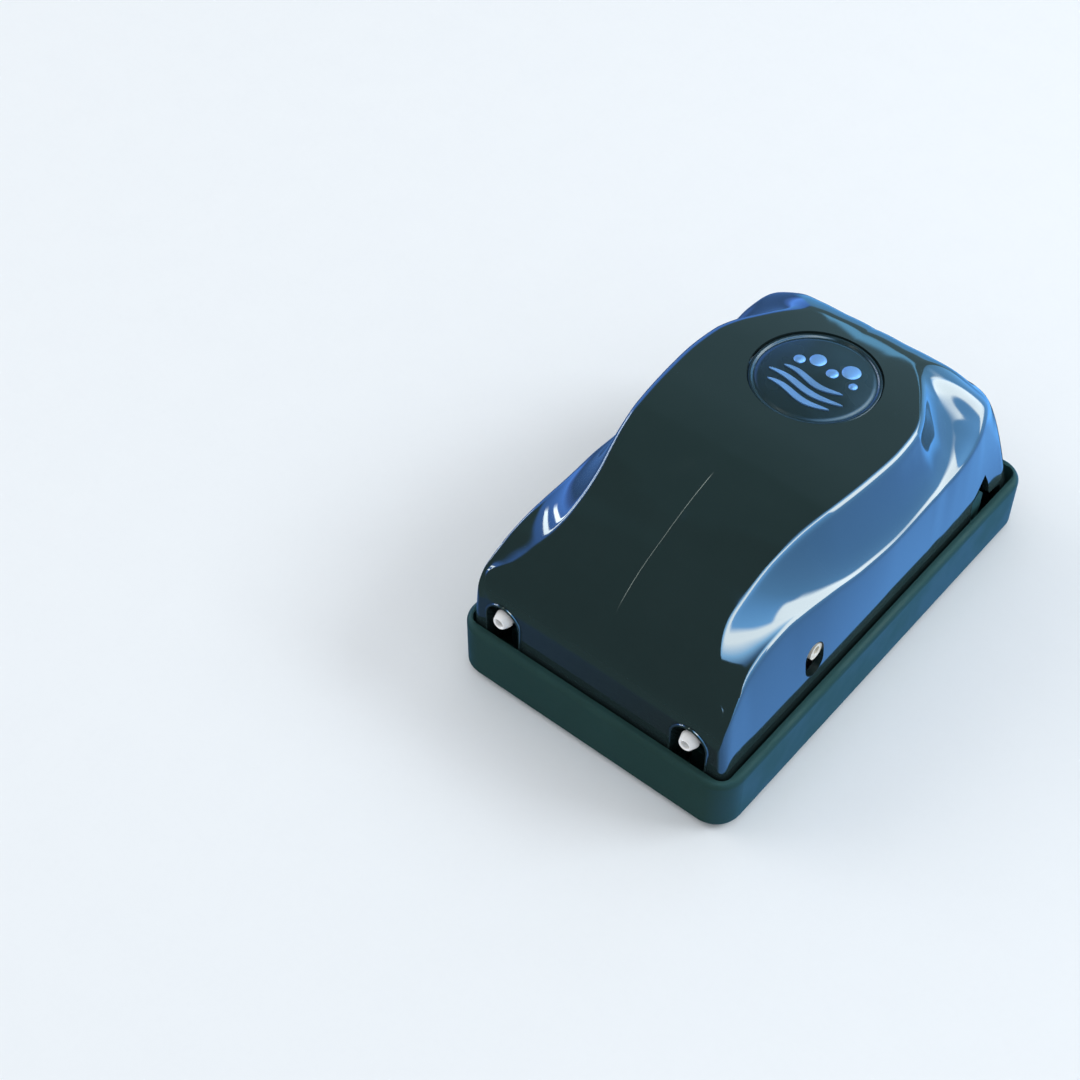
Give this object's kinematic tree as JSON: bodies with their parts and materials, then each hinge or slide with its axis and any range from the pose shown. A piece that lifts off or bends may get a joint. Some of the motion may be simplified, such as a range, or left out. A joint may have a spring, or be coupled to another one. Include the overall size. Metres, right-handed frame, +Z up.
{
  "type": "aquarium air pump",
  "caption": "Mains diaphragm air pump for an aquarium: glossy sloping hood on a dark tray, air outlets in front, and magnet driven arms, diaphragms and flap valve heads inside.",
  "frame": {"origin": "centre of the footprint, on the surface the feet stand on", "axes": "+X to the right seen from the outlets' end looking at the rear, -Y the end with the air outlets, +Z up"},
  "size_m": [0.0914, 0.15, 0.067],
  "materials": {
    "gloss_casing": "polished moulded ABS, very dark green black",
    "badge_plastic": "moulded badge, dark slate",
    "emblem_silver": "hot foil, pale blue silver",
    "tray_plastic": "fine spark texture, dark green black",
    "foot_rubber": "black rubber",
    "screw_steel": "zinc plated steel",
    "filter_felt": "needled felt",
    "core_steel": "stacked silicon steel laminations, varnished",
    "bobbin_nylon": "glass filled nylon, natural",
    "copper_wire": "enamelled copper wire",
    "winding_tape": "yellow polyester tape",
    "terminal_brass": "tinned brass",
    "zinc_steel": "zinc plated sheet steel",
    "arm_alloy": "die cast alloy",
    "bush_bronze": "sintered bronze",
    "magnet_ferrite": "sintered ferrite",
    "diaphragm_rubber": "nitrile rubber",
    "ring_plastic": "acetal",
    "head_plastic": "moulded ABS, ivory",
    "nozzle_plastic": "moulded ABS, ivory",
    "tube_silicone": "clear silicone tube"
  },
  "bodies": {
    "root": {"air_tube_left": "tube_silicone", "air_tube_right": "tube_silicone", "badge_plate": "badge_plastic", "base_tray": "tray_plastic", "bubble_emblem": "emblem_silver", "case_screws": "screw_steel", "clamp_ring_left": "ring_plastic", "clamp_ring_right": "ring_plastic", "coil_bobbin": "bobbin_nylon", "coil_tape": "winding_tape", "coil_winding": "copper_wire", "cord_grommet": "foot_rubber", "core_strap": "zinc_steel", "diaphragm_left": "diaphragm_rubber", "diaphragm_right": "diaphragm_rubber", "e_core": "core_steel", "filter_cover": "tray_plastic", "filter_felt": "filter_felt", "head_screws_left": "screw_steel", "head_screws_right": "screw_steel", "mounting_screws_left": "screw_steel", "mounting_screws_right": "screw_steel", "outlet_nozzle_left": "nozzle_plastic", "outlet_nozzle_right": "nozzle_plastic", "pivot_pin_left": "screw_steel", "pivot_pin_right": "screw_steel", "pump_head_left": "head_plastic", "pump_head_right": "head_plastic", "retaining_clip_left": "zinc_steel", "retaining_clip_right": "zinc_steel", "rubber_feet": "foot_rubber", "strap_screws": "screw_steel", "terminal_pins": "terminal_brass", "top_casing": "gloss_casing", "valve_plate_left": "head_plastic", "valve_plate_right": "head_plastic"},
    "arm_left": {"swing_arm_left": "arm_alloy", "arm_bush_left": "bush_bronze", "magnet_yoke_left": "zinc_steel", "magnet_left": "magnet_ferrite", "diaphragm_screw_left": "screw_steel"},
    "inlet_valve_left": {"inlet_flap_left": "diaphragm_rubber"},
    "outlet_valve_left": {"outlet_flap_left": "diaphragm_rubber"},
    "arm_right": {"swing_arm_right": "arm_alloy", "arm_bush_right": "bush_bronze", "magnet_yoke_right": "zinc_steel", "magnet_right": "magnet_ferrite", "diaphragm_screw_right": "screw_steel"},
    "inlet_valve_right": {"inlet_flap_right": "diaphragm_rubber"},
    "outlet_valve_right": {"outlet_flap_right": "diaphragm_rubber"}
  },
  "joints": [
    {"name": "arm_left_swing", "type": "hinge", "parent": "root", "child": "arm_left", "pos_m": [-0.01, -0.058, 0.027], "axis": [0, 0, 1], "range_deg": [-2, 2], "stiffness_Nm_per_rad": 0.5, "deforming": ["diaphragm_left"]},
    {"name": "inlet_valve_left_open", "type": "hinge", "parent": "root", "child": "inlet_valve_left", "pos_m": [-0.024, -0.03, 0.035], "axis": [0, -1, 0], "range_deg": [0, 12], "stiffness_Nm_per_rad": 0.0001},
    {"name": "outlet_valve_left_open", "type": "hinge", "parent": "root", "child": "outlet_valve_left", "pos_m": [-0.0265, -0.03, 0.025], "axis": [0, 1, 0], "range_deg": [0, 12], "stiffness_Nm_per_rad": 0.0001},
    {"name": "arm_right_swing", "type": "hinge", "parent": "root", "child": "arm_right", "pos_m": [0.01, -0.058, 0.027], "axis": [0, 0, 1], "range_deg": [-2, 2], "stiffness_Nm_per_rad": 0.5, "deforming": ["diaphragm_right"]},
    {"name": "inlet_valve_right_open", "type": "hinge", "parent": "root", "child": "inlet_valve_right", "pos_m": [0.024, -0.03, 0.035], "axis": [0, 1, 0], "range_deg": [0, 12], "stiffness_Nm_per_rad": 0.0001},
    {"name": "outlet_valve_right_open", "type": "hinge", "parent": "root", "child": "outlet_valve_right", "pos_m": [0.0265, -0.03, 0.025], "axis": [0, -1, 0], "range_deg": [0, 12], "stiffness_Nm_per_rad": 0.0001}
  ],
  "couplings": [
    {"joint": "arm_right_swing", "follows": "arm_left_swing", "ratio": -1}
  ]
}
